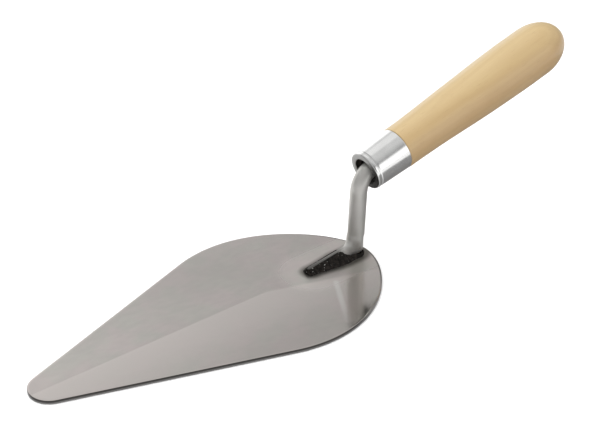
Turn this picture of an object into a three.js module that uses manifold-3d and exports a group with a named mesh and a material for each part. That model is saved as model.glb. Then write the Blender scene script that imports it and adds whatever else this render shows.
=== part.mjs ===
// A brick trowel: a flat steel blade, a cranked shank welded on at the heel, a pressed ferrule
// and a turned wooden handle. Millimetres. X runs from the blade's tip towards the handle,
// Z is up, and the blade's underside lies on Z = 0. The trowel is symmetric about Y = 0.
import * as THREE from "three";
import { ConvexGeometry } from "three/addons/geometries/ConvexGeometry.js";
import { mergeVertices } from "three/addons/utils/BufferGeometryUtils.js";
import Module from "manifold-3d";

const wasm = await Module();
wasm.setup();

// ---- Driving dimensions -------------------------------------------------------------------

const gap = 0.3; // left between two pieces that touch
const turnSteps = 36; // sides of a turned piece

// Blade, seen from above. Distances along it are from the tip.
const bladeLength = 200;
const bladeWidth = 103;
const bladeThickness = 2.4;
const tipRadius = 11.2;
const tipHalfAngle = THREE.MathUtils.degToRad(19);
const shoulderRadius = 64;
const heelRoundness = 36.4; // pull of the heel's curve along the blade, at the widest place
const heelFullness = 18.6; // pull of the same curve across the blade, at the heel

// The top is ground thinner towards the tip and towards both edges, in two flat facets.
const grindStart = 134; // where the two facets and the flat land round the shank meet
const grindFallAlong = 0.002;
const grindFallAcross = 0.006;

// Shank: a round bar that stands on the blade, bends back and runs into the handle.
const barRadius = 4.4;
const shankFromTip = 192.6;
const shankLean = THREE.MathUtils.degToRad(2.8); // backwards from upright
const bendRadius = 13.5;
const tangLength = 62; // inside the handle, measured from the ferrule's front
const tangEndRadius = 2.2;
const tangOverlap = 2; // how far the bent bar runs on inside the tang

// Foot: the shank's thin toe that lies forward along the blade.
const footLength = 32; // from the toe to the shank's axis
const footHalfWidth = 1.25;
const toeHeight = 2.6;
const heelOfFootHeight = 6;
const footFlareLength = 9; // over this the foot widens to the bar
const footFilletHeight = 9; // how far up the bar the foot's hollow curve runs out
const footSink = 0.8; // how deep that curve's upper end lies inside the bar

// Weld bead round the foot.
const weldToeRadius = 4;
const weldHeelRadius = 6.5;
const weldTopMargin = 0.5; // how far the bead's upper edge stands off the steel it joins
const weldBelowToe = 0.4; // how much lower than the toe the bead's upper edge starts
const weldBelowHeel = 1; // and how much lower than the foot's high end it finishes

// Handle line: the axis that the ferrule, the handle and the tang share.
const handleRise = THREE.MathUtils.degToRad(15.5);
const ferruleFront = new THREE.Vector3(198.3, 0, 46 + bladeThickness);

// Ferrule, a drawn cup with its open end towards the wood.
const ferruleLength = 21.9;
const ferruleFrontRadius = 10.4;
const ferruleBackRadius = 11.3;
const ferruleWall = 0.8;
const ferruleHoleRadius = 7.1;
const ferruleLipRadius = 0.9;
const grooveFromFront = 2.4;
const grooveDepth = 0.35;
const grooveHalfWidth = 0.6;

// Handle, with its lengths measured from the ferrule's front.
const handleEnd = 140.8;
const handleGripRadius = 14.2;
const handleShoulderRadius = 11.4;
const handleShoulderRounding = 0.6;
const handleSwellLift = 0.4; // radius gained over the first third of the swell
const handleSwellEnd = 110; // from here on the grip is straight
const handleRoundingStart = 120.8;
const spigotClearance = 1.4; // between the ferrule's front flange and the wood
const boreMouthExtra = 1.1; // the bore opens this much wider than the bar at its mouth

const bendTurn = Math.PI / 2 - shankLean - handleRise;
const ferruleSlope = (ferruleBackRadius - ferruleFrontRadius) / ferruleLength;

// ---- Shared helpers -----------------------------------------------------------------------

// Turns a closed geometry into a solid that can be joined and cut.
function solid(geometry) {
  const bare = geometry.clone();
  bare.deleteAttribute("normal");
  bare.deleteAttribute("uv");
  const merged = mergeVertices(bare, 1e-4);
  return new wasm.Manifold(
    new wasm.Mesh({
      numProp: 3,
      vertProperties: new Float32Array(merged.attributes.position.array),
      triVerts: new Uint32Array(merged.index.array),
    }),
  );
}

// Turns a solid back into a geometry with flat-shaded faces.
function geometryOf(body) {
  const mesh = body.getMesh();
  const geometry = new THREE.BufferGeometry();
  geometry.setAttribute("position", new THREE.BufferAttribute(mesh.vertProperties, 3));
  geometry.setIndex(new THREE.BufferAttribute(mesh.triVerts, 1));
  const faceted = geometry.toNonIndexed();
  faceted.computeVertexNormals();
  return faceted;
}

function piece(name, geometry, color, roughness, metalness) {
  const material = new THREE.MeshStandardMaterial({ color, roughness, metalness });
  const mesh = new THREE.Mesh(geometry, material);
  mesh.name = name;
  return mesh;
}

// A shape drawn in X and Z, given a thickness that is centred on Y = 0.
function sideExtrusion(shape, thickness) {
  const geometry = new THREE.ExtrudeGeometry(shape, {
    depth: thickness,
    bevelEnabled: false,
    curveSegments: 10,
  });
  geometry.translate(0, 0, -thickness / 2);
  return geometry.rotateX(Math.PI / 2);
}

// Points of a level circle, for the corners of a convex piece.
function levelCircle(x, z, radius, count) {
  return Array.from({ length: count }, (_, i) => {
    const turn = (2 * Math.PI * i) / count;
    return new THREE.Vector3(x + radius * Math.cos(turn), radius * Math.sin(turn), z);
  });
}

// Turns a profile (x = radius, y = distance from the ferrule's front) about the handle line.
function turnedOnHandleLine(profile) {
  const geometry = new THREE.LatheGeometry(profile, turnSteps);
  geometry.rotateZ(-Math.PI / 2);
  geometry.rotateY(-handleRise);
  return geometry.translate(ferruleFront.x, ferruleFront.y, ferruleFront.z);
}

// ---- Blade --------------------------------------------------------------------------------

// The outline, run from the tip along one side to the heel and back along the other.
function bladeOutline() {
  const halfWidth = bladeWidth / 2;
  const sin = Math.sin(tipHalfAngle);
  const cos = Math.cos(tipHalfAngle);
  // The shoulder's arc is level with the blade's axis at the widest place.
  const shoulderCentreY = halfWidth - shoulderRadius;
  const sideEndY = shoulderCentreY + shoulderRadius * cos;
  const tipSideX = tipRadius * (1 - sin);
  const sideEndX = tipSideX + (sideEndY - tipRadius * cos) * (cos / sin);
  const widest = sideEndX + shoulderRadius * sin;
  // Directions in which the two straight sides face.
  const lowerSide = 1.5 * Math.PI - tipHalfAngle;
  const upperSide = 0.5 * Math.PI + tipHalfAngle;

  const shape = new THREE.Shape();
  shape.moveTo(0, 0);
  shape.absarc(tipRadius, 0, tipRadius, Math.PI, lowerSide, false);
  shape.absarc(widest, -shoulderCentreY, shoulderRadius, lowerSide, 1.5 * Math.PI, false);
  shape.bezierCurveTo(
    widest + heelRoundness, -halfWidth,
    bladeLength, -heelFullness,
    bladeLength, 0,
  );
  shape.bezierCurveTo(
    bladeLength, heelFullness,
    widest + heelRoundness, halfWidth,
    widest, halfWidth,
  );
  shape.absarc(widest, shoulderCentreY, shoulderRadius, 0.5 * Math.PI, upperSide, false);
  shape.absarc(tipRadius, 0, tipRadius, upperSide, Math.PI, false);
  return shape;
}

// A block whose lower face is one ground facet; side is -1 or +1 in Y.
function grindingBlock(side) {
  const reach = 3 * bladeLength;
  const normal = new THREE.Vector3(-grindFallAlong, side * grindFallAcross, 1).normalize();
  const block = new THREE.BoxGeometry(reach, reach, reach);
  block.translate(0, 0, reach / 2);
  block.applyQuaternion(
    new THREE.Quaternion().setFromUnitVectors(new THREE.Vector3(0, 0, 1), normal),
  );
  return solid(block.translate(grindStart, 0, bladeThickness));
}

function makeBlade() {
  const plate = new THREE.ExtrudeGeometry(bladeOutline(), {
    depth: bladeThickness,
    bevelEnabled: false,
    curveSegments: 24,
  });
  const ground = solid(plate).subtract(grindingBlock(-1)).subtract(grindingBlock(1));
  return piece("blade", geometryOf(ground), 0xa8a5a0, 0.25, 1);
}

// ---- Shank --------------------------------------------------------------------------------

// The bar's line: up from the blade, round the bend and on to the ferrule.
function shankLine(startZ) {
  const upwards = new THREE.Vector3(Math.sin(shankLean), 0, Math.cos(shankLean));
  const onwards = new THREE.Vector3(Math.cos(handleRise), 0, Math.sin(handleRise));
  const foot = new THREE.Vector3(shankFromTip, 0, bladeThickness);

  // Where the riser's line and the handle line cross.
  const apart = ferruleFront.clone().sub(foot);
  const crossing = upwards.x * onwards.z - upwards.z * onwards.x;
  const along = (apart.x * onwards.z - apart.z * onwards.x) / crossing;
  const corner = foot.clone().addScaledVector(upwards, along);

  const tangentLength = bendRadius * Math.tan(bendTurn / 2);
  const bendStart = corner.clone().addScaledVector(upwards, -tangentLength);
  const bendEnd = corner.clone().addScaledVector(onwards, tangentLength);
  const start = foot.clone().addScaledVector(upwards, (startZ - bladeThickness) / upwards.z);
  return { start, bendStart, bendEnd, onwards };
}

// A round bar along a curve, closed at both ends.
function bar(curve, radius, steps) {
  const section = new THREE.Shape();
  section.absarc(0, 0, radius, 0, 2 * Math.PI, false);
  return solid(
    new THREE.ExtrudeGeometry(section, {
      extrudePath: curve,
      steps,
      curveSegments: 12,
      bevelEnabled: false,
    }),
  );
}

// The bend as a circular arc in the plane Y = 0.
class Bend extends THREE.Curve {
  constructor(start) {
    super();
    const inwards = new THREE.Vector3(Math.cos(shankLean), 0, -Math.sin(shankLean));
    this.centre = start.clone().addScaledVector(inwards, bendRadius);
  }
  getPoint(t, target = new THREE.Vector3()) {
    const angle = Math.PI - shankLean - bendTurn * t;
    return target.set(
      this.centre.x + bendRadius * Math.cos(angle),
      0,
      this.centre.z + bendRadius * Math.sin(angle),
    );
  }
}

// Riser, bend and the start of the tang as one bar.
function crankedBar(startZ) {
  const line = shankLine(startZ);
  const path = new THREE.CurvePath();
  path.add(new THREE.LineCurve3(line.start, line.bendStart));
  path.add(new Bend(line.bendStart));
  const overrun = line.bendEnd.clone().addScaledVector(line.onwards, tangOverlap);
  path.add(new THREE.LineCurve3(line.bendEnd, overrun));
  return bar(path, barRadius, 24);
}

// The tang narrows to a blunt point inside the handle.
function tang(grow) {
  const start = ferruleFront.distanceTo(shankLine(0).bendEnd);
  return [
    new THREE.Vector2(0, start),
    new THREE.Vector2(barRadius + grow, start),
    new THREE.Vector2(tangEndRadius + grow, tangLength + grow),
    new THREE.Vector2(0, tangLength + 2 * tangEndRadius + grow),
  ];
}

// The foot seen from the side: a low rounded toe that rises into the bar.
function footSide(bottom, grow) {
  const toe = shankFromTip - footLength - grow;
  const toeTop = bladeThickness + toeHeight + grow;
  const heelTop = bladeThickness + heelOfFootHeight + grow;
  const barFront = shankFromTip - barRadius;
  const shape = new THREE.Shape();
  shape.moveTo(shankFromTip, bottom);
  shape.lineTo(shankFromTip, heelTop + footFilletHeight);
  shape.lineTo(barFront + footSink, heelTop + footFilletHeight);
  shape.quadraticCurveTo(barFront, heelTop, shankFromTip - footFlareLength, heelTop);
  shape.lineTo(toe + toeHeight, toeTop);
  shape.quadraticCurveTo(toe, toeTop, toe, bladeThickness + gap);
  shape.lineTo(toe, bottom);
  return shape;
}

// The foot's thin keel; grown by extra on every side but the lower one.
function keel(bottom, grow) {
  return solid(sideExtrusion(footSide(bottom, grow), 2 * (footHalfWidth + grow)));
}

// The upright wedge that widens the keel to the bar.
function flare(bottom, top, grow) {
  const flareStart = shankFromTip - footFlareLength;
  const topShift = (top - bladeThickness) * Math.tan(shankLean);
  return solid(
    new ConvexGeometry([
      ...levelCircle(shankFromTip, bottom, barRadius + grow, 32),
      ...levelCircle(shankFromTip + topShift, top, barRadius + grow, 32),
      ...levelCircle(flareStart, bottom, footHalfWidth + grow, 12),
      ...levelCircle(flareStart, top, footHalfWidth + grow, 12),
    ]),
  );
}

function makeShank() {
  const bottom = bladeThickness + gap;
  const flareTop = bladeThickness + heelOfFootHeight;
  const body = crankedBar(bottom)
    .add(keel(bottom, 0))
    .add(flare(bottom, flareTop, 0))
    .add(solid(turnedOnHandleLine(tang(0))));
  return piece("shank", geometryOf(body), 0xa4a19c, 0.3, 1);
}

// ---- Weld bead ----------------------------------------------------------------------------

// A sloping collar of filler metal round the whole foot, opened out by the steel it joins.
function makeWeldBead() {
  const bottom = bladeThickness + gap;
  const toeCentre = shankFromTip - footLength + footHalfWidth;
  const toeTop = bladeThickness + toeHeight - weldBelowToe;
  const heelTop = bladeThickness + heelOfFootHeight - weldBelowHeel;
  const collar = new ConvexGeometry([
    ...levelCircle(toeCentre, bottom, weldToeRadius, 20),
    ...levelCircle(toeCentre, toeTop, footHalfWidth + weldTopMargin, 12),
    ...levelCircle(shankFromTip, bottom, weldHeelRadius, 32),
    ...levelCircle(shankFromTip, heelTop, barRadius + weldTopMargin, 32),
  ]);
  const steel = keel(0, gap).add(flare(0, heelTop + footFilletHeight, gap));
  return piece("weld_bead", geometryOf(solid(collar).subtract(steel)), 0x2b2725, 0.7, 0.6);
}

// ---- Ferrule ------------------------------------------------------------------------------

// The ferrule's outer radius at a distance from its front.
function ferruleRadius(distance) {
  return ferruleFrontRadius + ferruleSlope * distance;
}

function makeFerrule() {
  const grooveStart = grooveFromFront - grooveHalfWidth;
  const grooveEnd = grooveFromFront + grooveHalfWidth;

  const path = new THREE.Path();
  path.moveTo(ferruleHoleRadius, 0);
  path.lineTo(ferruleFrontRadius - ferruleLipRadius, 0);
  path.absarc(
    ferruleFrontRadius - ferruleLipRadius, ferruleLipRadius, ferruleLipRadius,
    -0.5 * Math.PI, 0, false,
  );
  path.lineTo(ferruleRadius(grooveStart), grooveStart);
  path.quadraticCurveTo(
    ferruleRadius(grooveFromFront) - 2 * grooveDepth, grooveFromFront,
    ferruleRadius(grooveEnd), grooveEnd,
  );
  path.lineTo(ferruleRadius(ferruleLength), ferruleLength);
  path.lineTo(ferruleRadius(ferruleLength) - ferruleWall, ferruleLength);
  path.lineTo(ferruleRadius(ferruleWall) - ferruleWall, ferruleWall);
  path.lineTo(ferruleHoleRadius, ferruleWall);
  path.closePath();
  return piece("ferrule", turnedOnHandleLine(path.getPoints(5)), 0xc9c9cb, 0.15, 1);
}

// ---- Handle -------------------------------------------------------------------------------

// Profile: the bore's blind end, its wall, the spigot inside the ferrule, the shoulder, the long
// swell to the grip, and the end as half an ellipse.
function makeHandle() {
  const bore = tang(gap);
  const spigotFront = ferruleWall + spigotClearance;
  const spigotRadius = (distance) => ferruleRadius(distance) - ferruleWall - gap;
  const shoulder = ferruleLength + gap;
  const swellStart = shoulder + handleShoulderRounding;
  const swellPull = (handleSwellEnd - swellStart) / 3;

  const path = new THREE.Path();
  path.moveTo(0, bore[3].y);
  path.lineTo(bore[2].x, bore[2].y);
  path.lineTo(barRadius + gap + boreMouthExtra, spigotFront);
  path.lineTo(spigotRadius(spigotFront), spigotFront);
  path.lineTo(spigotRadius(shoulder), shoulder);
  path.lineTo(handleShoulderRadius - handleShoulderRounding, shoulder);
  path.quadraticCurveTo(handleShoulderRadius, shoulder, handleShoulderRadius, swellStart);
  path.bezierCurveTo(
    handleShoulderRadius + handleSwellLift, swellStart + swellPull,
    handleGripRadius, handleSwellEnd - swellPull,
    handleGripRadius, handleSwellEnd,
  );
  path.lineTo(handleGripRadius, handleRoundingStart);
  path.absellipse(
    0, handleRoundingStart, handleGripRadius, handleEnd - handleRoundingStart,
    0, 0.5 * Math.PI, false,
  );
  return piece("handle", turnedOnHandleLine(path.getPoints(9)), 0xdcc08c, 0.4, 0);
}

// ---- Assembly -----------------------------------------------------------------------------

const trowel = new THREE.Group();
trowel.name = "brick_trowel";
trowel.add(makeBlade(), makeShank(), makeWeldBead(), makeFerrule(), makeHandle());

// The origin lies under the middle of the whole trowel's length.
trowel.position.x = -new THREE.Box3().setFromObject(trowel).getCenter(new THREE.Vector3()).x;

export default trowel;
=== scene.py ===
"""A brick trowel on a plain pale floor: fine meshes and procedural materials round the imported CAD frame."""
import math

import bmesh
import bpy
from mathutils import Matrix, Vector, noise


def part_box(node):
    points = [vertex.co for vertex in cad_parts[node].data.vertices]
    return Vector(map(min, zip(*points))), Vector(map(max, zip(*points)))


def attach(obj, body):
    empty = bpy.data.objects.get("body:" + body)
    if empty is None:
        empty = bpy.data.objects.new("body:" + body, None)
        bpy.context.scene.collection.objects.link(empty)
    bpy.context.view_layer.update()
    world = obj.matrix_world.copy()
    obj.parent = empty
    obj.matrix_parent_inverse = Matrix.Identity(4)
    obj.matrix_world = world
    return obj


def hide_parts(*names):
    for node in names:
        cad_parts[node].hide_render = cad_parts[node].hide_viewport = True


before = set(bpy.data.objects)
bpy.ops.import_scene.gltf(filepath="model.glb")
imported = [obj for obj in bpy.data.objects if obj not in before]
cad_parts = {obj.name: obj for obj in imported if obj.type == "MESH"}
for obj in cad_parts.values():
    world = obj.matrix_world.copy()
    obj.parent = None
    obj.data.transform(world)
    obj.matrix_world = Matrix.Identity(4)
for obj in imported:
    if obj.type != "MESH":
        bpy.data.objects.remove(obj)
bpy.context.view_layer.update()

MM = 0.001

# ---- Sizes, in metres, from the frame and from the trowel's driving dimensions ---------------

blade_low, blade_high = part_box("blade")
tip_x = blade_low.x
heel_x = blade_high.x
half_width = blade_high.y
blade_top = blade_high.z

TIP_RADIUS = 11.2 * MM
TIP_HALF_ANGLE = math.radians(19)
SHOULDER_RADIUS = 64 * MM
HEEL_ROUNDNESS = 36.4 * MM
HEEL_FULLNESS = 18.6 * MM
GRIND_START = 134 * MM
GRIND_FALL_ALONG = 0.002
GRIND_FALL_ACROSS = 0.006
GRIND_BLEND = 1.6 * MM
LAND_BLEND = 0.02 * MM
BLADE_UNEVENNESS = 0.012 * MM
BLADE_UNEVENNESS_SIZE = 38 * MM
EDGE_ROUNDING = 0.32 * MM
EDGE_STEPS = 4
RIM_WIDTH = 1.2 * MM
ROWS_ACROSS_BLADE = 48

BAR_RADIUS = 4.4 * MM
SHANK_FROM_TIP = 192.6 * MM
SHANK_LEAN = math.radians(2.8)
BEND_RADIUS = 13.5 * MM
TANG_LENGTH = 62 * MM
TANG_END_RADIUS = 2.2 * MM
FOOT_LENGTH = 32 * MM
TOE_HEIGHT = 3.0 * MM
FOOT_HEIGHT = 6.4 * MM
FOOT_TOP_HALF_WIDTH = 1.0 * MM
FOOT_BASE_HALF_WIDTH = 1.9 * MM
FOOT_FILLET = 3.8 * MM
FOOT_BOXINESS = 3.2
CORNER_SQUARENESS = 12
TOE_ROUNDING = 2.2 * MM
TOE_EDGE_HEIGHT = 0.4 * MM
FIRST_RING_FROM_TOE = 0.05 * MM
RISER_ABOVE_FILLET = 1.5 * MM
ROUND = 2
BAR_SIDES = 40

HANDLE_RISE = math.radians(15.5)
FERRULE_FROM_TIP = 198.3 * MM
FERRULE_HEIGHT = 46 * MM
FERRULE_LENGTH = 21.9 * MM
FERRULE_FRONT_RADIUS = 10.4 * MM
FERRULE_BACK_RADIUS = 11.3 * MM
FERRULE_WALL = 0.8 * MM
FERRULE_HOLE_RADIUS = 7.1 * MM
FERRULE_LIP = 0.9 * MM
FERRULE_BACK_ROUNDING = 0.2 * MM
GROOVE_FROM_FRONT = 2.4 * MM
GROOVE_HALF_WIDTH = 0.7 * MM
GROOVE_DEPTH = 0.35 * MM
FERRULE_UNEVENNESS = 0.05 * MM
FERRULE_SIDES = 160

HANDLE_END = 140.8 * MM
HANDLE_GRIP_RADIUS = 14.2 * MM
HANDLE_SHOULDER_RADIUS = 11.4 * MM
HANDLE_SHOULDER_ROUNDING = 0.6 * MM
HANDLE_SWELL_LIFT = 0.4 * MM
HANDLE_SWELL_END = 110 * MM
HANDLE_ROUNDING_START = 120.8 * MM
HANDLE_UNEVENNESS = 0.12 * MM
HANDLE_SIDES = 144
HANDLE_SHOULDER_GAP = 0.12 * MM
HANDLE_GAP = 0.05 * MM
BORE_MOUTH_CLEARANCE = 1.4 * MM

shank_x = tip_x + SHANK_FROM_TIP
foot_run = FOOT_LENGTH - BAR_RADIUS - FOOT_FILLET
ferrule_front = Vector((tip_x + FERRULE_FROM_TIP, 0, blade_top + FERRULE_HEIGHT))
onwards = Vector((math.cos(HANDLE_RISE), 0, math.sin(HANDLE_RISE)))
upwards = Vector((math.sin(SHANK_LEAN), 0, math.cos(SHANK_LEAN)))
across = Vector((0, 1, 0))


# ---- Curves ------------------------------------------------------------------------------------

def arc(centre, radius, start, end, count):
    """Points of an arc in a plane, without its last one. Angles are in degrees."""
    points = []
    for i in range(count):
        angle = math.radians(start + (end - start) * i / count)
        points.append((centre[0] + radius * math.cos(angle), centre[1] + radius * math.sin(angle)))
    return points


def bezier(a, b, c, d, count):
    """Points of a cubic Bezier curve in a plane, without its last one."""
    points = []
    for i in range(count):
        t = i / count
        s = 1 - t
        weights = (s ** 3, 3 * s * s * t, 3 * s * t * t, t ** 3)
        points.append(tuple(sum(w * p[k] for w, p in zip(weights, (a, b, c, d))) for k in (0, 1)))
    return points


def line(a, b, count):
    """Points of a straight line in a plane, without its last one."""
    return [(a[0] + (b[0] - a[0]) * i / count, a[1] + (b[1] - a[1]) * i / count) for i in range(count)]


def smooth(t):
    """A share from 0 to 1 with soft ends."""
    t = max(0.0, min(1.0, t))
    return t * t * (3 - 2 * t)


def mix(a, b, t):
    """The value a share t of the way from a to b."""
    return a + (b - a) * t


# ---- Meshes ------------------------------------------------------------------------------------

def mesh_object(name, bm, smooth_angle=40):
    """Makes an object of a bmesh, with smooth shading that stops at edges sharper than the angle."""
    bmesh.ops.recalc_face_normals(bm, faces=bm.faces)
    for face in bm.faces:
        face.smooth = True
    for edge in bm.edges:
        edge.smooth = edge.calc_face_angle(0) < math.radians(smooth_angle)
    mesh = bpy.data.meshes.new(name)
    bm.to_mesh(mesh)
    bm.free()
    piece = bpy.data.objects.new(name, mesh)
    bpy.context.scene.collection.objects.link(piece)
    return piece


def skin(bm, rings, closed=False):
    """Joins rings of vertices, each with the same count, into a tube."""
    pairs = list(zip(rings, rings[1:]))
    if closed:
        pairs.append((rings[-1], rings[0]))
    count = len(rings[0])
    for first, second in pairs:
        for i in range(count):
            j = (i + 1) % count
            bm.faces.new((first[i], first[j], second[j], second[i]))


def cap(bm, ring, centre):
    """Closes a ring with a fan round its centre."""
    middle = bm.verts.new(centre)
    for i, vertex in enumerate(ring):
        bm.faces.new((vertex, ring[(i + 1) % len(ring)], middle))


def revolve(bm, profile, steps, wobble):
    """Turns a profile of (distance along, radius) about the handle line. A radius of zero is a pole."""
    side = onwards.cross(across).normalized()
    rings = []
    poles = []
    for along, radius in profile:
        centre = ferrule_front + onwards * along
        if radius <= 0:
            poles.append(centre)
            continue
        ring = []
        for i in range(steps):
            turn = 2 * math.pi * i / steps
            reach = radius + wobble(along, turn)
            ring.append(bm.verts.new(centre + (side * math.cos(turn) + across * math.sin(turn)) * reach))
        rings.append(ring)
    skin(bm, rings, closed=not poles)
    if poles:
        cap(bm, rings[0], poles[0])
        cap(bm, rings[-1], poles[1])


def fit(piece, node, material):
    """Puts a finished piece on the frame in place of its CAD node."""
    piece.data.materials.append(material)
    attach(piece, "root")
    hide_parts(node)
    return piece


# ---- Blade -------------------------------------------------------------------------------------

def blade_outline():
    """Half of the blade's outline as (distance from the tip, half width), from the tip to the heel."""
    length = heel_x - tip_x
    sin = math.sin(TIP_HALF_ANGLE)
    cos = math.cos(TIP_HALF_ANGLE)
    shoulder_y = half_width - SHOULDER_RADIUS
    side_start = (TIP_RADIUS * (1 - sin), TIP_RADIUS * cos)
    side_end_y = shoulder_y + SHOULDER_RADIUS * cos
    side_end = (side_start[0] + (side_end_y - side_start[1]) * cos / sin, side_end_y)
    widest = side_end[0] + SHOULDER_RADIUS * sin
    side_turn = 90 + math.degrees(TIP_HALF_ANGLE)
    points = arc((TIP_RADIUS, 0), TIP_RADIUS, 180, side_turn, 22)
    points += line(side_start, side_end, 60)
    points += arc((widest, shoulder_y), SHOULDER_RADIUS, side_turn, 90, 20)
    points += bezier((widest, half_width), (widest + HEEL_ROUNDNESS, half_width),
                     (length, HEEL_FULLNESS), (length, 0), 56)
    points.append((length, 0))
    return points


def outline_normals(points):
    """The outward normal at each point of a half outline that meets the axis squarely at both ends."""
    normals = []
    for i in range(len(points)):
        before = points[i - 1] if i else (points[1][0], -points[1][1])
        after = points[i + 1] if i + 1 < len(points) else (points[i - 1][0], -points[i - 1][1])
        run = Vector((after[0] - before[0], after[1] - before[1])).normalized()
        normals.append((-run.y, run.x))
    return normals


def blade_surface(x, y):
    """Height of the ground top: a flat land round the shank, and two facets that fall to the edges."""
    fall = GRIND_FALL_ACROSS * math.hypot(y, GRIND_BLEND)
    facet = blade_top + GRIND_FALL_ALONG * (x - GRIND_START) - fall
    ground = 0.5 * (blade_top + facet - math.hypot(blade_top - facet, LAND_BLEND))
    place = Vector((x, y, 0)) / BLADE_UNEVENNESS_SIZE
    return ground + BLADE_UNEVENNESS * noise.noise(place)


def blade_rings(bm):
    """Closed outlines of the blade: from just inside the top's rim, over the edge, to the underside.

    Each starts at the tip, and runs along the near side to the heel and back along the far side.
    """
    points = blade_outline()
    normals = outline_normals(points)
    last = len(points) - 1
    edge_mask = bm.verts.layers.float.new("edge_nearness")

    def place(i, side, inset, height):
        x = points[i][0] - normals[i][0] * inset
        y = side * max(0.0, points[i][1] - normals[i][1] * inset)
        vertex = bm.verts.new((tip_x + x, y, height(x, y)))
        vertex[edge_mask] = 1 - min(1, inset / (2 * EDGE_ROUNDING))
        return vertex

    def loop(inset, height):
        near = [place(i, -1, inset, height) for i in range(last + 1)]
        far = [place(i, 1, inset, height) for i in range(last - 1, 0, -1)]
        return near + far

    rounding = []
    for k in range(EDGE_STEPS + 1):
        turn = 0.5 * math.pi * k / EDGE_STEPS
        rounding.append((EDGE_ROUNDING * (1 - math.sin(turn)), EDGE_ROUNDING * (1 - math.cos(turn))))
    rings = [loop(RIM_WIDTH, blade_surface)]
    for inset, drop in rounding:
        rings.append(loop(inset, lambda x, y, drop=drop: blade_surface(x, y) - drop))
    for inset, drop in reversed(rounding):
        rings.append(loop(inset, lambda x, y, drop=drop: drop))
    return rings


def fill_top(bm, ring):
    """Columns of faces across the blade inside its top ring, so that the ground facets have a fine mesh."""
    last = len(ring) // 2
    rows = ROWS_ACROSS_BLADE
    columns = []
    for i in range(1, last):
        near = ring[i]
        far = ring[-i]
        column = [near]
        for k in range(1, rows):
            x = near.co.x
            y = mix(near.co.y, far.co.y, k / rows)
            column.append(bm.verts.new((x, y, blade_surface(x - tip_x, y))))
        column.append(far)
        columns.append(column)
    for first, second in zip(columns, columns[1:]):
        for k in range(rows):
            bm.faces.new((first[k], first[k + 1], second[k + 1], second[k]))
    for end, column in ((ring[0], columns[0]), (ring[last], columns[-1])):
        for k in range(rows):
            bm.faces.new((end, column[k], column[k + 1]))


def fill_underside(bm, ring):
    """Faces straight across the blade inside its bottom ring."""
    last = len(ring) // 2
    for i in range(1, last - 1):
        bm.faces.new((ring[i], ring[i + 1], ring[-i - 1], ring[-i]))
    bm.faces.new((ring[0], ring[1], ring[-1]))
    bm.faces.new((ring[last], ring[last - 1], ring[last + 1]))


def make_blade(material):
    bm = bmesh.new()
    rings = blade_rings(bm)
    skin(bm, rings)
    fill_top(bm, rings[0])
    fill_underside(bm, rings[-1])
    return fit(mesh_object("trowel_blade", bm), "blade", material)


# ---- Shank -------------------------------------------------------------------------------------

def bar_line():
    """Points on the bar's middle line: the riser's foot, and where the bend starts and ends."""
    foot = Vector((shank_x, 0, blade_top))
    apart = ferrule_front - foot
    crossing = upwards.x * onwards.z - upwards.z * onwards.x
    corner = foot + upwards * ((apart.x * onwards.z - apart.z * onwards.x) / crossing)
    tangent = BEND_RADIUS * math.tan((math.pi / 2 - SHANK_LEAN - HANDLE_RISE) / 2)
    return foot, corner - upwards * tangent, corner + onwards * tangent


def section(bm, centre, top, width_top, width_base, half_height, boxiness):
    """A ring of the bar: an ellipse at a boxiness of ROUND, and squarer above that.

    top points to the side that faces the tip, or upwards on the foot.
    """
    ring = []
    for i in range(BAR_SIDES):
        turn = 2 * math.pi * i / BAR_SIDES
        c = math.cos(turn)
        s = math.sin(turn)
        c = math.copysign(abs(c) ** (2 / boxiness), c)
        s = math.copysign(abs(s) ** (2 / boxiness), s)
        width = mix(width_base, width_top, 0.5 + 0.5 * s)
        spot = centre + across * (width * c) + top * (half_height * s)
        ring.append(bm.verts.new(spot))
    return ring


def foot_height(along):
    """Height of the foot at a distance from its toe, up to where it turns into the riser."""
    return mix(TOE_HEIGHT, FOOT_HEIGHT, min(1, along / foot_run))


def foot_rings(bm, toe_x):
    """Rings along the foot, closer together towards its toe."""
    rings = []
    steps = 30
    for i in range(steps):
        along = foot_run * (i / steps) ** 1.5 + FIRST_RING_FROM_TOE
        rounding = math.sqrt(1 - (1 - min(1, along / TOE_ROUNDING)) ** 2)
        half = 0.5 * foot_height(along) * mix(0.35, 1, rounding)
        rings.append(section(
            bm, Vector((toe_x + along, 0, blade_top + half)), Vector((0, 0, 1)),
            FOOT_TOP_HALF_WIDTH * rounding, FOOT_BASE_HALF_WIDTH * rounding, half, FOOT_BOXINESS))
    return rings


def corner_rings(bm, fillet_centre):
    """The corner between foot and riser: a fan of rings round the centre of its hollow fillet."""
    rings = []
    steps = 16
    reach_back = BAR_RADIUS * 2 + FOOT_FILLET
    reach_down = fillet_centre.z - blade_top
    for i in range(steps + 1):
        share = i / steps
        turn = math.radians(mix(90, 0, share))
        to_back = reach_back / max(math.cos(turn), 1e-6)
        to_base = reach_down / max(math.sin(turn), 1e-6)

        # The outside is a square corner, barely rounded.
        nearness = to_back ** -CORNER_SQUARENESS + to_base ** -CORNER_SQUARENESS
        outer = nearness ** (-1 / CORNER_SQUARENESS)
        outwards = Vector((math.cos(turn), 0, -math.sin(turn)))
        middle = fillet_centre + outwards * (FOOT_FILLET + outer) / 2
        grow = smooth(share)
        rings.append(section(
            bm, middle, -outwards,
            mix(FOOT_TOP_HALF_WIDTH, BAR_RADIUS, grow), mix(FOOT_BASE_HALF_WIDTH, BAR_RADIUS, grow),
            (outer - FOOT_FILLET) / 2, mix(FOOT_BOXINESS, ROUND, grow)))
    return rings


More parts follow.
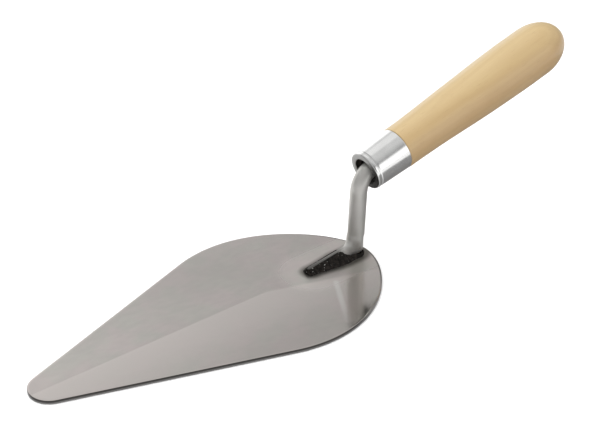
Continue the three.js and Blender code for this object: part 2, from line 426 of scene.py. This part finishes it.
def bar_rings(bm, start_z):
    """Round rings up the riser, round the bend and along the tang."""
    rings = []
    foot, bend_start, bend_end = bar_line()

    def add(centre, forward, radius):
        rings.append(section(bm, centre, forward.cross(across), radius, radius, radius, ROUND))

    riser_steps = 24
    for i in range(riser_steps):
        z = mix(start_z, bend_start.z, i / riser_steps)
        add(foot + upwards * ((z - blade_top) / upwards.z), upwards, BAR_RADIUS)

    bend_steps = 20
    bend_turn = math.pi / 2 - SHANK_LEAN - HANDLE_RISE
    inwards = Vector((math.cos(SHANK_LEAN), 0, -math.sin(SHANK_LEAN)))
    bend_centre = bend_start + inwards * BEND_RADIUS
    for i in range(bend_steps + 1):
        angle = math.pi - SHANK_LEAN - bend_turn * i / bend_steps
        out = Vector((math.cos(angle), 0, math.sin(angle)))
        add(bend_centre + out * BEND_RADIUS, Vector((out.z, 0, -out.x)), BAR_RADIUS)

    tang_steps = 12
    tang_start = (bend_end - ferrule_front).length
    for i in range(1, tang_steps + 1):
        share = i / tang_steps
        centre = ferrule_front + onwards * mix(tang_start, TANG_LENGTH, share)
        add(centre, onwards, mix(BAR_RADIUS, TANG_END_RADIUS, share))
    return rings


def make_shank(material):
    bm = bmesh.new()
    toe_x = shank_x - FOOT_LENGTH
    fillet_centre = Vector((toe_x + foot_run, 0, blade_top + FOOT_HEIGHT + FOOT_FILLET))
    rings = foot_rings(bm, toe_x)
    rings += corner_rings(bm, fillet_centre)
    rings += bar_rings(bm, fillet_centre.z + RISER_ABOVE_FILLET)
    skin(bm, rings)
    cap(bm, rings[0], Vector((toe_x, 0, blade_top + TOE_EDGE_HEIGHT)))
    cap(bm, rings[-1], ferrule_front + onwards * (TANG_LENGTH + 2 * TANG_END_RADIUS))
    return fit(mesh_object("trowel_shank", bm), "shank", material)


# ---- Weld bead ---------------------------------------------------------------------------------

WELD_TOE_RADIUS = 3.5 * MM
WELD_TOE_REACH = 1.5 * MM
WELD_HEEL_RADIUS = 5.9 * MM
WELD_BACK_RADIUS = 5.0 * MM
WELD_SINK = 0.25 * MM
WELD_BELOW_FOOT_TOP = 0.25 * MM
WELD_DIP = 1.9 * MM
WELD_BACK_HEIGHT = 1.4 * MM
WELD_SWELL = 0.1 * MM
WELD_RIPPLE = 0.16 * MM
WELD_RIPPLE_LENGTH = 1.5 * MM
WELD_UNDERCUT = 0.02 * MM
WELD_HOLLOWNESS = 0.38
WELD_CORNER_SHARE = 0.7
# Layers of unevenness, each as (height, size): along the bead's outer edge, and over its face.
WELD_WANDER = ((0.35 * MM, 3.1 * MM), (0.25 * MM, 1.1 * MM))
WELD_LUMPS = ((0.28 * MM, 1.3 * MM), (0.16 * MM, 0.5 * MM))


def unevenness(spot, layers):
    """Distance that a surface stands off its smooth shape at a place."""
    return sum(height * noise.noise(spot / size) for height, size in layers)


def weld_contact(share):
    """Height of the bead's upper edge: along the foot's top, then a dip where the riser swells out."""
    along_foot = mix(TOE_HEIGHT, FOOT_HEIGHT, share / WELD_CORNER_SHARE) - WELD_BELOW_FOOT_TOP
    dipped = mix(along_foot, WELD_DIP, smooth((share - 0.6) / 0.24))
    return mix(dipped, WELD_BACK_HEIGHT, smooth((share - 0.95) / 0.05))


def weld_reach(share):
    """Distance from the middle line to the bead's outer edge: widest beside the corner, then drawn in."""
    widening = mix(WELD_TOE_RADIUS, WELD_HEEL_RADIUS, smooth(share / WELD_CORNER_SHARE))
    return mix(widening, WELD_BACK_RADIUS, smooth((share - 0.75) / 0.25))


def weld_stations():
    """Places round the foot, each as (inner point, outer point, contact height).

    They run from the toe along the near side, round the riser's back and along the far side,
    and then round the toe.
    """
    toe_centre = shank_x - FOOT_LENGTH + FOOT_TOP_HALF_WIDTH
    run = shank_x - toe_centre
    flare_start = 1 - (BAR_RADIUS + FOOT_FILLET) / run
    stations = []

    def add(centre_x, angle, inner_radius, outer_radius, outer_reach, share):
        ray = Vector((math.cos(angle), math.sin(angle), 0))
        centre = Vector((centre_x, 0, 0))
        outer = Vector((centre_x + outer_reach * ray.x, outer_radius * ray.y, 0))
        stations.append((centre + ray * (inner_radius - WELD_SINK), outer, weld_contact(share)))

    def side_station(side, share):
        grow = smooth((share - flare_start) / (1 - flare_start))
        foot_half = mix(0.5 * (FOOT_TOP_HALF_WIDTH + FOOT_BASE_HALF_WIDTH), BAR_RADIUS, grow)
        outer = weld_reach(share)
        add(mix(toe_centre, shank_x, share), side * math.pi / 2, foot_half, outer, outer, share)

    side_steps = 90
    back_steps = 40
    toe_steps = 24
    for i in range(side_steps + 1):
        side_station(-1, i / side_steps)
    for i in range(1, back_steps):
        angle = math.radians(mix(-90, 90, i / back_steps))
        add(shank_x, angle, BAR_RADIUS, WELD_BACK_RADIUS, WELD_BACK_RADIUS, 1)
    for i in range(side_steps, -1, -1):
        side_station(1, i / side_steps)
    for i in range(1, toe_steps):
        angle = math.radians(mix(90, 270, i / toe_steps))
        add(toe_centre, angle, FOOT_TOP_HALF_WIDTH, WELD_TOE_RADIUS, WELD_TOE_REACH, 0)
    return stations


def make_weld_bead(material):
    """A rippled fillet: at each station a small ring that runs up the outside and back down inside."""
    bm = bmesh.new()
    rings = []
    travelled = 0.0
    before = None
    climb = 9
    for inner, outer, contact in weld_stations():
        if before is not None:
            travelled += (outer - before).length
        before = outer
        outer = outer + (outer - inner).normalized() * unevenness(outer, WELD_WANDER)

        # Lumps stand out of the bead's sloping face, halfway between outwards and up.
        slope = outer - inner
        away = Vector((slope.x, slope.y, slope.length * 0.9)).normalized()
        ring = []
        for k in range(climb + 1):
            t = k / climb
            flat = outer.lerp(inner, t)
            spot = Vector((flat.x, flat.y, blade_top + contact * mix(t, t * t, WELD_HOLLOWNESS)))
            ripple = WELD_RIPPLE * math.sin(2 * math.pi * (travelled / WELD_RIPPLE_LENGTH + 0.35 * t))
            rise = WELD_SWELL + ripple + unevenness(spot, WELD_LUMPS)
            ring.append(bm.verts.new(spot + away * (math.sin(math.pi * t) * rise)))
        ring.append(bm.verts.new(Vector((inner.x, inner.y, blade_top + contact * 0.5))))
        ring.append(bm.verts.new(Vector((inner.x, inner.y, blade_top - WELD_UNDERCUT))))
        rings.append(ring)
    skin(bm, rings, closed=True)
    return fit(mesh_object("trowel_weld_bead", bm, 60), "weld_bead", material)


# ---- Ferrule -----------------------------------------------------------------------------------

def ferrule_radius(along):
    """The ferrule's outer radius at a distance from its front."""
    return mix(FERRULE_FRONT_RADIUS, FERRULE_BACK_RADIUS, along / FERRULE_LENGTH)


def make_ferrule(material):
    groove_start = GROOVE_FROM_FRONT - GROOVE_HALF_WIDTH
    groove_end = GROOVE_FROM_FRONT + GROOVE_HALF_WIDTH
    back = ferrule_radius(FERRULE_LENGTH)
    back_start = FERRULE_LENGTH - FERRULE_BACK_ROUNDING
    inner_front = (FERRULE_WALL, ferrule_radius(FERRULE_WALL) - FERRULE_WALL)
    lip_centre = (FERRULE_LIP, FERRULE_FRONT_RADIUS - FERRULE_LIP)
    hole_round = 0.5 * FERRULE_WALL

    profile = arc((hole_round, FERRULE_HOLE_RADIUS + hole_round), hole_round, 270, 180, 6)
    profile += line((0, FERRULE_HOLE_RADIUS + hole_round), (0, lip_centre[1]), 4)
    profile += arc(lip_centre, FERRULE_LIP, 180, 90, 10)
    profile += line((FERRULE_LIP, ferrule_radius(FERRULE_LIP)),
                    (groove_start, ferrule_radius(groove_start)), 3)
    groove_steps = 12
    for i in range(groove_steps):
        share = i / groove_steps
        along = mix(groove_start, groove_end, share)
        dip = GROOVE_DEPTH * math.sin(math.pi * share) ** 2
        profile.append((along, ferrule_radius(along) - dip))
    profile += line((groove_end, ferrule_radius(groove_end)), (back_start, ferrule_radius(back_start)), 22)
    profile += arc((back_start, back - FERRULE_BACK_ROUNDING), FERRULE_BACK_ROUNDING, 90, 0, 4)
    profile += line((FERRULE_LENGTH, back - FERRULE_BACK_ROUNDING),
                    (FERRULE_LENGTH, back - FERRULE_WALL), 2)
    profile += line((FERRULE_LENGTH, back - FERRULE_WALL), inner_front, 12)
    profile += line(inner_front, (FERRULE_WALL, FERRULE_HOLE_RADIUS + hole_round), 4)
    profile += arc((hole_round, FERRULE_HOLE_RADIUS + hole_round), hole_round, 0, -90, 6)

    def wobble(along, turn):
        place = Vector((1.6 * math.cos(turn), 1.6 * math.sin(turn), along / (14 * MM)))
        return FERRULE_UNEVENNESS * noise.noise(place)

    bm = bmesh.new()
    revolve(bm, profile, FERRULE_SIDES, wobble)
    return fit(mesh_object("trowel_ferrule", bm), "ferrule", material)


# ---- Handle ------------------------------------------------------------------------------------

def make_handle(material):
    spigot_front = FERRULE_WALL + BORE_MOUTH_CLEARANCE
    bore_mouth = BAR_RADIUS + BORE_MOUTH_CLEARANCE
    shoulder = FERRULE_LENGTH + HANDLE_SHOULDER_GAP
    swell_start = shoulder + HANDLE_SHOULDER_ROUNDING
    swell_pull = (HANDLE_SWELL_END - swell_start) / 3
    rounding = HANDLE_SHOULDER_ROUNDING

    def spigot(along):
        return ferrule_radius(along) - FERRULE_WALL - 2 * HANDLE_GAP

    bore_end = TANG_LENGTH + 2 * TANG_END_RADIUS + HANDLE_GAP
    profile = [(bore_end, 0)]
    profile += line((TANG_LENGTH, TANG_END_RADIUS + HANDLE_GAP), (spigot_front, bore_mouth), 12)
    profile += line((spigot_front, bore_mouth), (spigot_front, spigot(spigot_front)), 4)
    profile += line((spigot_front, spigot(spigot_front)), (shoulder, spigot(shoulder)), 6)
    profile += line((shoulder, spigot(shoulder)), (shoulder, HANDLE_SHOULDER_RADIUS - rounding), 2)
    profile += arc((shoulder + rounding, HANDLE_SHOULDER_RADIUS - rounding), rounding, 180, 90, 6)
    profile += bezier((swell_start, HANDLE_SHOULDER_RADIUS),
                      (swell_start + swell_pull, HANDLE_SHOULDER_RADIUS + HANDLE_SWELL_LIFT),
                      (HANDLE_SWELL_END - swell_pull, HANDLE_GRIP_RADIUS),
                      (HANDLE_SWELL_END, HANDLE_GRIP_RADIUS), 40)
    profile += line((HANDLE_SWELL_END, HANDLE_GRIP_RADIUS), (HANDLE_ROUNDING_START, HANDLE_GRIP_RADIUS), 5)
    end_length = HANDLE_END - HANDLE_ROUNDING_START
    end_steps = 32
    for i in range(end_steps):
        turn = 0.5 * math.pi * i / end_steps
        profile.append((HANDLE_ROUNDING_START + end_length * math.sin(turn),
                        HANDLE_GRIP_RADIUS * math.cos(turn)))
    profile.append((HANDLE_END, 0))

    def wobble(along, turn):
        place = Vector((1.2 * math.cos(turn), 1.2 * math.sin(turn), along / (30 * MM)))
        fade = smooth((along - shoulder) / (8 * MM)) * smooth((HANDLE_END - along) / (15 * MM))
        return HANDLE_UNEVENNESS * fade * (noise.noise(place) - 0.5)

    bm = bmesh.new()
    revolve(bm, profile, HANDLE_SIDES, wobble)
    return fit(mesh_object("trowel_handle", bm), "handle", material)


# ---- Material helpers --------------------------------------------------------------------------

class Surface:
    """A Principled material whose nodes are added by name, with short ways to the usual ones."""

    def __init__(self, name, **fixed):
        self.material = bpy.data.materials.new(name)
        self.material.use_nodes = True
        self.tree = self.material.node_tree
        self.shader = self.tree.nodes["Principled BSDF"]
        for socket, value in fixed.items():
            self.shader.inputs[socket.replace("_", " ")].default_value = value

    def add(self, kind, settings=None, **sockets):
        node = self.tree.nodes.new(kind)
        for key, value in (settings or {}).items():
            setattr(node, key, value)
        for key, value in sockets.items():
            self.feed(node.inputs[key.replace("_", " ")], value)
        return node

    def feed(self, socket, value):
        if isinstance(value, bpy.types.NodeSocket):
            self.tree.links.new(value, socket)
        else:
            socket.default_value = value

    def math(self, operation, a, b=0.0, clamp=False):
        node = self.add("ShaderNodeMath", {"operation": operation, "use_clamp": clamp})
        self.feed(node.inputs[0], a)
        self.feed(node.inputs[1], b)
        return node.outputs[0]

    def vector(self, operation, a, b=(0, 0, 0)):
        node = self.add("ShaderNodeVectorMath", {"operation": operation})
        self.feed(node.inputs[0], a)
        self.feed(node.inputs[1], b)
        return node.outputs[1 if operation in ("DOT_PRODUCT", "LENGTH", "DISTANCE") else 0]

    def place(self, turn=(0, 0, 0), scale=(1, 1, 1), shift=(0, 0, 0)):
        """Object coordinates, moved by shift, then turned, then scaled."""
        coordinates = self.add("ShaderNodeTexCoord").outputs["Object"]
        moved = self.vector("ADD", coordinates, shift)
        rotate = self.add("ShaderNodeVectorRotate", {"rotation_type": "EULER_XYZ"},
                          Vector=moved, Rotation=turn)
        return self.vector("MULTIPLY", rotate.outputs[0], scale)

    def noise(self, vector, scale, detail):
        node = self.add("ShaderNodeTexNoise", Vector=vector, Scale=scale, Detail=detail, Roughness=0.55)
        return node.outputs["Fac"]

    def span(self, value, low, high, to_low=0.0, to_high=1.0):
        """Takes a value's range from low to high onto another range, with soft ends."""
        node = self.add("ShaderNodeMapRange", {"interpolation_type": "SMOOTHSTEP"})
        for index, number in enumerate((value, low, high, to_low, to_high)):
            self.feed(node.inputs[index], number)
        return node.outputs[0]

    def blend(self, share, first, second):
        """The first colour where the share is 0, and the second where it is 1."""
        node = self.add("ShaderNodeMix", {"data_type": "RGBA"})
        self.feed(node.inputs[0], share)
        self.feed(node.inputs[6], first)
        self.feed(node.inputs[7], second)
        return node.outputs[2]

    def bump(self, height, distance, strength, under=None):
        node = self.add("ShaderNodeBump", Height=height, Distance=distance, Strength=strength)
        if under is not None:
            self.feed(node.inputs["Normal"], under)
        return node.outputs[0]

    def set(self, **sockets):
        for key, value in sockets.items():
            self.feed(self.shader.inputs[key.replace("_", " ")], value)
        return self.material


def near_line(surface, start, end):
    """Distance from the surface to a line between two points, and the share of the way along the line."""
    coordinates = surface.add("ShaderNodeTexCoord").outputs["Object"]
    run = end - start
    from_start = surface.vector("SUBTRACT", coordinates, tuple(start))
    share = surface.math("DIVIDE", surface.vector("DOT_PRODUCT", from_start, tuple(run)),
                         run.length_squared, clamp=True)
    scaled = surface.add("ShaderNodeVectorMath", {"operation": "SCALE"})
    surface.feed(scaled.inputs[0], tuple(run))
    surface.feed(scaled.inputs["Scale"], share)
    distance = surface.vector("LENGTH", surface.vector("SUBTRACT", from_start, scaled.outputs[0]))
    return distance, share


def parts_of(surface, vector):
    """The three components of a vector."""
    return surface.add("ShaderNodeSeparateXYZ", Vector=vector).outputs


# ---- Materials ---------------------------------------------------------------------------------

def facet_painted_light(s, color, x, y):
    """The near facet is painted brighter along the ridge, a painted reflection, and both facets are painted
    darker towards their edges, a painted shade.
    """
    width = s.math("ABSOLUTE", y)
    land = s.math("SUBTRACT", x, s.math("MULTIPLY", width, GRIND_FALL_ACROSS / GRIND_FALL_ALONG))
    on_facet = s.span(land, GRIND_START - 4 * MM, GRIND_START + 4 * MM, 1.0, 0.0)
    near_side = s.math("MULTIPLY", on_facet, s.span(y, -1.0 * MM, 0.6 * MM, 1.0, 0.0))
    polish_and_painted_light = s.math("MULTIPLY", s.span(x, 5 * MM, 70 * MM, 0.85, 1.0), s.span(width, 0, 44 * MM, 0.9, 0.0))
    color = s.blend(s.math("MULTIPLY", near_side, polish_and_painted_light), color, (0.765, 0.71, 0.68, 1))
    # Painted shade: the facets are painted darker towards their edges.
    painted_edge_shade = s.math("MULTIPLY", s.span(x, 60 * MM, 130 * MM), s.span(width, 14 * MM, 46 * MM, 0.0, 0.35))
    color = s.blend(s.math("MULTIPLY", near_side, painted_edge_shade), color, (0.545, 0.505, 0.48, 1))
    painted_far_shade = s.math("MULTIPLY", s.span(y, 0, 40 * MM, 0.0, 0.32),
                      s.span(x, 120 * MM, 165 * MM, 1.0, 0.2))
    return s.blend(painted_far_shade, color, (0.42, 0.40, 0.38, 1))


def edge_scale_and_painted_shade(s, color, x, z):
    """The edge is painted dark above, as dark scale and painted shade, and lighter below, as painted light,
    and lighter still round the heel.

    A painted shade line follows the heel's rim just inside the edge.
    """
    edge_mask = s.add("ShaderNodeAttribute", {"attribute_name": "edge_nearness"}).outputs["Fac"]
    edge_shading = s.blend(s.span(z, 0.4 * MM, 1.3 * MM), (0.24, 0.235, 0.23, 1), (0.05, 0.047, 0.045, 1))
    edge = s.blend(s.math("MULTIPLY", s.span(x, 150 * MM, 185 * MM), 0.5), edge_shading, (0.42, 0.41, 0.40, 1))
    color = s.blend(s.span(edge_mask, 0.55, 0.95), color, edge)
    rim = s.math("MULTIPLY", s.span(edge_mask, 0.0, 0.45), s.span(x, 176 * MM, 194 * MM, 0.0, 0.8))
    return s.blend(rim, color, (0.06, 0.057, 0.055, 1))


def painted_weld_shade(s, color, reach, share, tint):
    """A thin soft band round the bead is painted dark: the bead's painted shadow and painted reflection in
    the blade.
    """
    bead = s.span(share, 0, WELD_CORNER_SHARE, WELD_TOE_RADIUS, WELD_HEEL_RADIUS)
    uneven = s.math("ADD", s.math("SUBTRACT", reach, bead), s.math("MULTIPLY", tint, 1.2 * MM))
    return s.blend(s.span(uneven, 1.0 * MM, 5.2 * MM, 0.92, 0.0), color, (0.14, 0.13, 0.115, 1))


def painted_reflection_streak(s, color):
    """A bright streak is painted into the near side of the heel, a painted reflection."""
    start = Vector((tip_x + 167.5 * MM, -15 * MM, blade_top))
    end = Vector((tip_x + 150 * MM, -44.5 * MM, blade_top))
    off_streak, along_streak = near_line(s, start, end)
    streak = s.math("MULTIPLY", s.span(off_streak, 0.3 * MM, 2.2 * MM, 0.75, 0.0),
                    s.span(along_streak, 0.3, 1.0, 1.0, 0.3))
    return s.blend(streak, color, (0.84, 0.82, 0.79, 1))


def blade_steel():
    s = Surface("blade_steel", Metallic=1.0)
    cloud = s.noise(s.place(), 28, 3)
    tint = s.noise(s.place(shift=(0.4, 0.2, 0)), 60, 3)
    fine = s.noise(s.place(scale=(0.06, 1, 1)), 2600, 2)
    mottle = s.noise(s.place(scale=(0.5, 1, 1)), 300, 2)
    color = s.blend(s.span(tint, 0.35, 0.65), (0.64, 0.625, 0.58, 1), (0.685, 0.62, 0.60, 1))
    color = s.blend(s.math("MULTIPLY", s.span(cloud, 0.3, 0.7), 0.4), color, (0.585, 0.55, 0.52, 1))
    color = s.blend(s.math("MULTIPLY", fine, 0.1), color, (0.45, 0.44, 0.43, 1))
    color = s.blend(s.span(mottle, 0.3, 0.7, 0.0, 0.13), color, (0.45, 0.44, 0.43, 1))

    x, y, z = parts_of(s, s.place(shift=(-tip_x, 0, 0)))
    toe = Vector((shank_x - FOOT_LENGTH + WELD_TOE_RADIUS, 0, blade_top))
    reach, share = near_line(s, toe, Vector((shank_x, 0, blade_top)))
    color = facet_painted_light(s, color, x, y)
    color = edge_scale_and_painted_shade(s, color, x, z)
    color = painted_weld_shade(s, color, reach, share, tint)
    color = painted_reflection_streak(s, color)

    # The land round the weld was left as rolled: a dull skin that mirrors nothing sharply.
    rolled = s.span(reach, 11 * MM, 21 * MM, 0.26, 0.0)
    roughness = s.math("ADD", s.span(cloud, 0.25, 0.75, 0.13, 0.17), rolled)
    return s.set(Base_Color=color, Roughness=roughness, Normal=s.bump(fine, 0.000002, 0.4))


def shank_steel():
    s = Surface("shank_steel", Metallic=0.82)
    cloud = s.noise(s.place(), 90, 4)
    fine = s.noise(s.place(scale=(1, 1, 0.1)), 2200, 2)
    color = s.blend(s.span(cloud, 0.3, 0.7), (0.555, 0.55, 0.52, 1), (0.605, 0.59, 0.57, 1))
    color = s.blend(s.math("MULTIPLY", fine, 0.25), color, (0.48, 0.47, 0.45, 1))

    # The foot is darker, most of all at its toe.
    from_toe = parts_of(s, s.place(shift=(FOOT_LENGTH - shank_x, 0, 0)))[0]
    along_foot = s.span(from_toe, 0, foot_run, 0.95, 0.68)
    on_foot = s.span(from_toe, foot_run - 4 * MM, foot_run + 2 * MM, 1.0, 0.0)
    darker_foot = s.math("MULTIPLY", along_foot, on_foot)
    color = s.blend(darker_foot, color, (0.10, 0.095, 0.09, 1))
    roughness = s.span(cloud, 0.25, 0.75, 0.4, 0.48)
    return s.set(Base_Color=color, Roughness=roughness, Normal=s.bump(fine, 0.000005, 0.5))


def weld_metal():
    s = Surface("weld_metal", Metallic=0.6, Specular_IOR_Level=0.25)
    lumps = s.noise(s.place(), 700, 4)
    grit = s.noise(s.place(), 2400, 3)
    color = s.blend(s.span(lumps, 0.35, 0.75), (0.008, 0.007, 0.006, 1), (0.036, 0.03, 0.026, 1))
    glint = s.span(s.noise(s.place(), 1150, 1), 0.705, 0.76)
    color = s.blend(glint, color, (0.7, 0.69, 0.66, 1))
    roughness = s.math("SUBTRACT", s.span(lumps, 0.3, 0.7, 0.45, 0.65), s.math("MULTIPLY", glint, 0.25))
    normal = s.bump(grit, 0.00004, 0.6, s.bump(lumps, 0.00015, 0.7))
    return s.set(Base_Color=color, Roughness=roughness, Normal=normal)


def on_handle_line(s):
    """Object coordinates with X along the handle line from the ferrule's front."""
    return s.place(turn=(0, HANDLE_RISE, 0), shift=tuple(-ferrule_front))


def ferrule_metal():
    s = Surface("ferrule_metal", Metallic=1.0)
    local = on_handle_line(s)
    lines = s.noise(s.vector("MULTIPLY", local, (1, 0.08, 0.08)), 3000, 2)
    cloud = s.noise(local, 120, 3)
    color = s.blend(s.span(cloud, 0.3, 0.7), (0.86, 0.86, 0.85, 1), (0.93, 0.93, 0.92, 1))

    # The front flange was never polished, and its lower half is painted dark, a painted shade.
    x, y, z = parts_of(s, local)
    flange = s.span(x, 0.05 * MM, 0.5 * MM, 1.0, 0.0)
    low = s.math("SUBTRACT", s.math("MULTIPLY", y, -0.65), s.math("MULTIPLY", z, 0.76))
    painted_flange_shade = s.span(s.math("ADD", low, s.math("MULTIPLY", cloud, 3 * MM)), -3 * MM, 6 * MM)
    color = s.blend(flange, color, s.blend(painted_flange_shade, (0.4, 0.4, 0.39, 1), (0.04, 0.037, 0.035, 1)))
    polish_and_painted_light = s.math("ADD", s.span(cloud, 0.3, 0.7, 0.1, 0.18), s.math("MULTIPLY", lines, 0.05))
    roughness = s.math("ADD", polish_and_painted_light, s.math("MULTIPLY", flange, 0.25))
    return s.set(Base_Color=color, Roughness=roughness, Normal=s.bump(lines, 0.000003, 0.4))


def handle_wood():
    s = Surface("handle_wood", Coat_Weight=0.8, Coat_Roughness=0.25, Coat_IOR=1.5)
    local = on_handle_line(s)
    bend = s.noise(s.vector("MULTIPLY", local, (0.25, 1, 1)), 45, 2)
    offset = s.vector("ADD", s.vector("MULTIPLY", local, (0.05, 1, 1)), (0, 0.021, -0.034))
    distance = s.vector("LENGTH", s.vector("MULTIPLY", offset, (0, 1, 1)))
    rings = s.math("SINE", s.math("ADD", s.math("MULTIPLY", distance, 2400), s.math("MULTIPLY", bend, 16)))
    rings = s.span(rings, -0.8, 1.0)
    fibre = s.noise(s.vector("MULTIPLY", local, (0.035, 1, 1)), 1500, 3)
    pores = s.span(s.noise(s.vector("MULTIPLY", local, (0.05, 1, 1)), 2600, 1), 0.66, 0.74)
    cloud = s.noise(s.vector("MULTIPLY", local, (0.45, 1, 1)), 60, 3)
    x, y, z = parts_of(s, local)
    color = s.blend(s.span(cloud, 0.3, 0.7), (0.425, 0.27, 0.113, 1), (0.455, 0.3, 0.138, 1))

    # The upper side, leaning to the far side, is painted paler: painted light from above.
    toward_light = s.math("ADD", s.math("MULTIPLY", y, 0.5), z)
    painted_top_light = s.span(s.math("ADD", toward_light, s.math("MULTIPLY", bend, 16 * MM)), 3 * MM, 25 * MM)
    color = s.blend(painted_top_light, color, (0.52, 0.39, 0.195, 1))
    color = s.blend(s.math("MULTIPLY", rings, 0.14), color, (0.37, 0.24, 0.10, 1))
    color = s.blend(s.math("MULTIPLY", fibre, 0.3), color, (0.40, 0.27, 0.128, 1))
    color = s.blend(s.math("MULTIPLY", pores, 0.3), color, (0.31, 0.2, 0.086, 1))

    # Inside the ferrule the wood is painted dark, a painted shade in the recess.
    inside = s.span(x, FERRULE_LENGTH - 1.5 * MM, FERRULE_LENGTH - 0.5 * MM, 1.0, 0.0)
    color = s.blend(inside, color, (0.03, 0.025, 0.02, 1))
    roughness = s.span(fibre, 0.3, 0.7, 0.42, 0.55)
    return s.set(Base_Color=color, Roughness=roughness, Normal=s.bump(fibre, 0.00002, 0.5))


# ---- Stage -------------------------------------------------------------------------------------

CAMERA_TURN = math.radians(-38.71)
CAMERA_RISE = math.radians(30.67)
CAMERA_DISTANCE = 862 * MM
CAMERA_LENS = 97.8
CAMERA_SENSOR = 36

FLOOR_HALF_SIZE = 4
FLOOR_DROP = 0.05 * MM
CARD_CENTRE = (0.19, -0.06, 0)
CARD_INNER_RADIUS = 0.12
CARD_OUTER_RADIUS = 0.22

# Each softbox: its name, place, size and power.
SOFTBOXES = (
    ("key_softbox", (-0.15, 0.3, 1.6), 1.8, 27),
    ("fill_softbox", (-0.85, -1.0, 1.2), 1.6, 9.5),
)

ROOM_BRIGHTNESS = 0.17
# Each panel: its turn from +X and its height, its inner and outer half angle, all in degrees,
# and its brightness.
PANELS = (
    (70, 78, 20, 80, 0.46),
    (68, 67, 10, 25, 0.22),
    (85, 0, 18, 48, 1.0),
    (-71, 12, 13, 26, 1.0),
    (-160, 8, 10, 40, 0.3),
    (-30, 22, 10, 42, 0.35),
)


def direction_at(turn, height):
    """The unit direction at a turn from +X and a height above the floor, both in degrees."""
    level = math.cos(math.radians(height))
    return (level * math.cos(math.radians(turn)), level * math.sin(math.radians(turn)),
            math.sin(math.radians(height)))


def make_camera():
    data = bpy.data.cameras.new("camera")
    data.lens = CAMERA_LENS
    data.sensor_width = CAMERA_SENSOR
    camera = bpy.data.objects.new("camera", data)
    back = Vector((math.sin(CAMERA_TURN) * math.cos(CAMERA_RISE),
                   -math.cos(CAMERA_TURN) * math.cos(CAMERA_RISE), math.sin(CAMERA_RISE)))
    target = Vector((heel_x - 5.75 * MM, half_width - 0.25 * MM, blade_top + 0.1 * MM))
    camera.location = target + back * CAMERA_DISTANCE
    camera.rotation_euler = back.to_track_quat("Z", "Y").to_euler()
    bpy.context.scene.collection.objects.link(camera)
    bpy.context.scene.camera = camera


def make_floor():
    bm = bmesh.new()
    bmesh.ops.create_grid(bm, x_segments=8, y_segments=8, size=FLOOR_HALF_SIZE)
    floor = mesh_object("floor", bm)
    floor.location.z = -FLOOR_DROP
    surface = Surface("floor_paper", Roughness=0.9, Specular_IOR_Level=0.1)
    grain = surface.noise(surface.place(), 400, 2)
    color = surface.blend(grain, (0.955, 0.955, 0.955, 1), (0.975, 0.975, 0.975, 1))

    # Only reflections see a dark card on the floor, under and beyond the handle's end.
    glossy = surface.add("ShaderNodeLightPath").outputs["Is Glossy Ray"]
    from_card = surface.vector("LENGTH", surface.place(shift=tuple(-c for c in CARD_CENTRE)))
    off_card = surface.span(from_card, CARD_INNER_RADIUS, CARD_OUTER_RADIUS)
    in_metal = surface.blend(off_card, (0.19, 0.19, 0.19, 1), (0.8, 0.8, 0.8, 1))
    color = surface.blend(glossy, color, in_metal)
    floor.data.materials.append(surface.set(Base_Color=color))


def make_softbox(name, location, size, power):
    """A square light aimed at the origin, which the metals don't mirror."""
    data = bpy.data.lights.new(name, "AREA")
    data.shape = "SQUARE"
    data.size = size
    data.energy = power
    light = bpy.data.objects.new(name, data)
    light.location = location
    light.rotation_euler = Vector(location).to_track_quat("Z", "Y").to_euler()
    light.visible_glossy = False
    bpy.context.scene.collection.objects.link(light)


def make_world():
    """A soft studio round the object: a plain grey room with soft-edged bright panels in it."""
    world = bpy.data.worlds.new("studio")
    world.use_nodes = True
    bpy.context.scene.world = world
    tree = world.node_tree
    direction = tree.nodes.new("ShaderNodeTexCoord").outputs["Generated"]
    total = None
    for turn, height, inner, outer, brightness in PANELS:
        dot = tree.nodes.new("ShaderNodeVectorMath")
        dot.operation = "DOT_PRODUCT"
        tree.links.new(direction, dot.inputs[0])
        dot.inputs[1].default_value = direction_at(turn, height)
        ramp = tree.nodes.new("ShaderNodeMapRange")
        ramp.interpolation_type = "SMOOTHSTEP"
        tree.links.new(dot.outputs["Value"], ramp.inputs[0])
        ramp.inputs[1].default_value = math.cos(math.radians(outer))
        ramp.inputs[2].default_value = math.cos(math.radians(inner))
        ramp.inputs[4].default_value = brightness
        if total is None:
            total = ramp.outputs[0]
        else:
            add = tree.nodes.new("ShaderNodeMath")
            tree.links.new(total, add.inputs[0])
            tree.links.new(ramp.outputs[0], add.inputs[1])
            total = add.outputs[0]
    base = tree.nodes.new("ShaderNodeMath")
    tree.links.new(total, base.inputs[0])
    base.inputs[1].default_value = ROOM_BRIGHTNESS
    tree.links.new(base.outputs[0], tree.nodes["Background"].inputs["Color"])


make_camera()
make_floor()
make_world()
for softbox in SOFTBOXES:
    make_softbox(*softbox)
bpy.context.scene.view_settings.view_transform = "Standard"

make_blade(blade_steel())
make_shank(shank_steel())
make_weld_bead(weld_metal())
make_ferrule(ferrule_metal())
make_handle(handle_wood())
